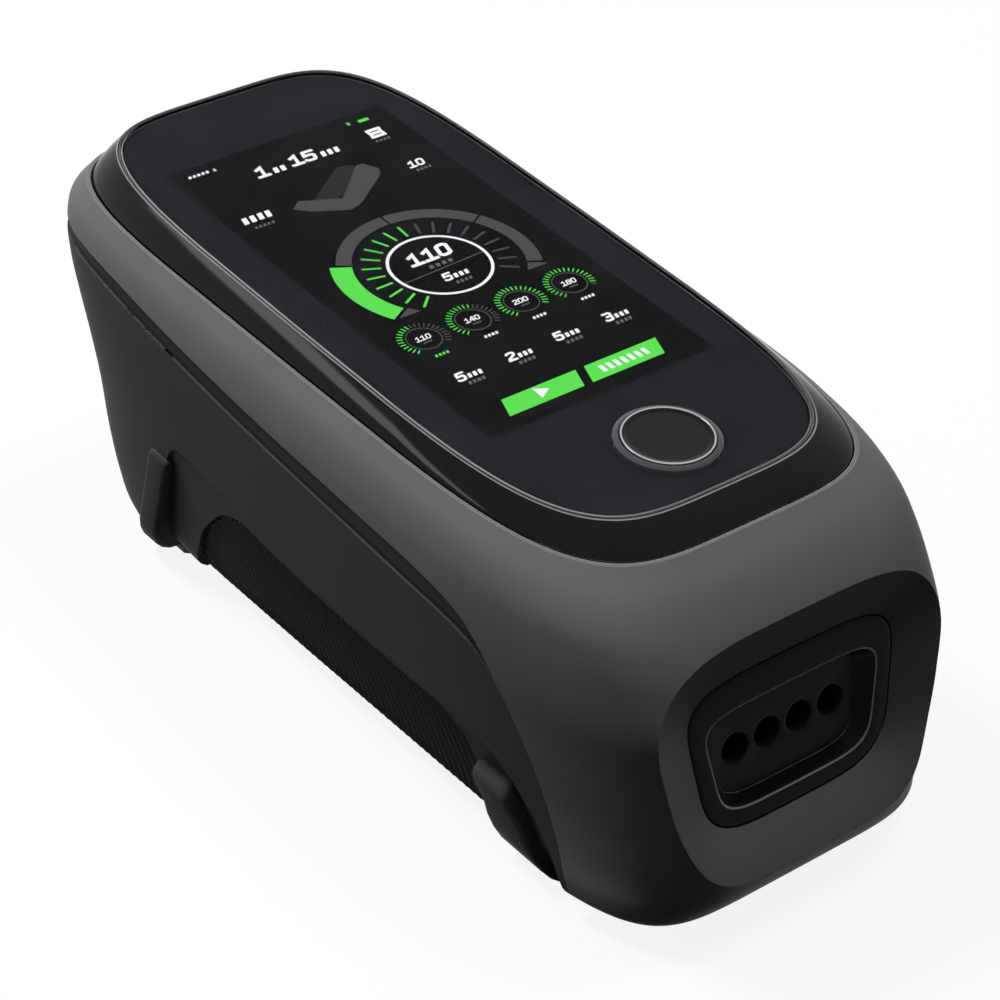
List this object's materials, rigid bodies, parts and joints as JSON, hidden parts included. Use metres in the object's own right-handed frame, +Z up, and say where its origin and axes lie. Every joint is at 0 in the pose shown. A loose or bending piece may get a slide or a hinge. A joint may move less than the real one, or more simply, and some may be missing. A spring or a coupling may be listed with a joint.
{
  "type": "compression therapy pump",
  "caption": "Bedside air pump for compression sleeves, with a touch display, a round home button and a recessed row of hose ports.",
  "frame": {"origin": "on the table under the middle of the body, at the height of the undersides of the feet", "axes": "+X to the right seen from the port end, +Y from the port end to the rear, +Z up"},
  "size_m": [0.1056, 0.2343, 0.0984],
  "materials": {
    "shell_grey": "satin moulded plastic",
    "housing_dark": "fine matt texture",
    "trim_dark": "smooth",
    "grip_rubber": "ribbed soft overmould",
    "port_plastic": "smooth",
    "piano_black": "high gloss",
    "cover_glass": "dark tinted glass",
    "gasket_foam": "foam tape",
    "display": "display stack",
    "tray_metal": "pressed sheet",
    "steel": "plain",
    "button_black": "gloss",
    "light_guide": "clear light guide",
    "silicone": "soft",
    "circuit_board": "solder mask",
    "chip_black": "moulded",
    "air_block": "moulded",
    "valve_steel": "plated",
    "case_metal": "die cast",
    "motor_steel": "plain",
    "rod_plastic": "moulded",
    "black_rubber": "matt",
    "filter_felt": "felt in a plastic cup",
    "cell_wrap": "shrink wrap",
    "holder_plastic": "moulded",
    "inlet_plastic": "moulded"
  },
  "bodies": {
    "housing": {"upper_shell": "shell_grey", "lower_housing": "housing_dark", "trim_band": "trim_dark", "grip_pad_left": "grip_rubber", "grip_pad_right": "grip_rubber", "port_frame": "port_plastic", "port_block": "port_plastic", "rear_vent": "housing_dark", "rubber_feet": "black_rubber", "housing_screws": "steel", "bezel": "piano_black", "cover_glass": "cover_glass", "glass_gasket": "gasket_foam", "display_panel": "display", "display_tray": "tray_metal", "tray_screws": "steel", "button_light_ring": "light_guide", "button_return_pad": "silicone", "tact_switch": "chip_black", "button_board": "circuit_board", "main_board": "circuit_board", "board_parts": "chip_black", "buzzer": "chip_black", "air_manifold": "air_block", "sensor_board": "circuit_board", "pressure_sensors": "chip_black", "pump_case": "case_metal", "pump_mounts": "black_rubber", "pump_motor": "motor_steel", "diaphragm": "black_rubber", "pump_head": "air_block", "reed_valves": "silicone", "intake_filter": "filter_felt", "supply_hose": "silicone", "battery_cells": "cell_wrap", "battery_holder": "holder_plastic", "battery_board": "circuit_board", "power_board": "circuit_board", "power_inlet": "inlet_plastic", "valve_body_1": "valve_steel", "valve_spring_1": "steel", "valve_body_2": "valve_steel", "valve_spring_2": "steel", "valve_body_3": "valve_steel", "valve_spring_3": "steel", "valve_body_4": "valve_steel", "valve_spring_4": "steel"},
    "button": {"home_button": "button_black"},
    "crankshaft": {"drive_shaft": "steel"},
    "rod": {"connecting_rod": "rod_plastic"},
    "plunger_1": {"valve_plunger_1": "steel"},
    "plunger_2": {"valve_plunger_2": "steel"},
    "plunger_3": {"valve_plunger_3": "steel"},
    "plunger_4": {"valve_plunger_4": "steel"}
  },
  "joints": [
    {"name": "button_press", "type": "slide", "parent": "housing", "child": "button", "axis": [0, -0.0492, 0.9988], "range_m": [-0.0007, 0], "stiffness_N_per_m": 2500, "springref_m": 0.0004, "deforming": ["button_return_pad"]},
    {"name": "motor_spin", "type": "hinge", "parent": "housing", "child": "crankshaft", "pos_m": [0, -0.0574, 0.03], "axis": [0, 1, 0], "continuous": true},
    {"name": "rod_spin", "type": "hinge", "parent": "crankshaft", "child": "rod", "pos_m": [0, -0.0585, 0.0315], "axis": [0, 1, 0], "continuous": true},
    {"name": "valve_1_lift", "type": "slide", "parent": "housing", "child": "plunger_1", "axis": [0, 0, 1], "range_m": [0, 0.0012], "stiffness_N_per_m": 400, "springref_m": -0.0008, "deforming": ["valve_spring_1"]},
    {"name": "valve_2_lift", "type": "slide", "parent": "housing", "child": "plunger_2", "axis": [0, 0, 1], "range_m": [0, 0.0012], "stiffness_N_per_m": 400, "springref_m": -0.0008, "deforming": ["valve_spring_2"]},
    {"name": "valve_3_lift", "type": "slide", "parent": "housing", "child": "plunger_3", "axis": [0, 0, 1], "range_m": [0, 0.0012], "stiffness_N_per_m": 400, "springref_m": -0.0008, "deforming": ["valve_spring_3"]},
    {"name": "valve_4_lift", "type": "slide", "parent": "housing", "child": "plunger_4", "axis": [0, 0, 1], "range_m": [0, 0.0012], "stiffness_N_per_m": 400, "springref_m": -0.0008, "deforming": ["valve_spring_4"]}
  ],
  "couplings": [
    {"joint": "rod_spin", "follows": "motor_spin", "ratio": -1}
  ]
}
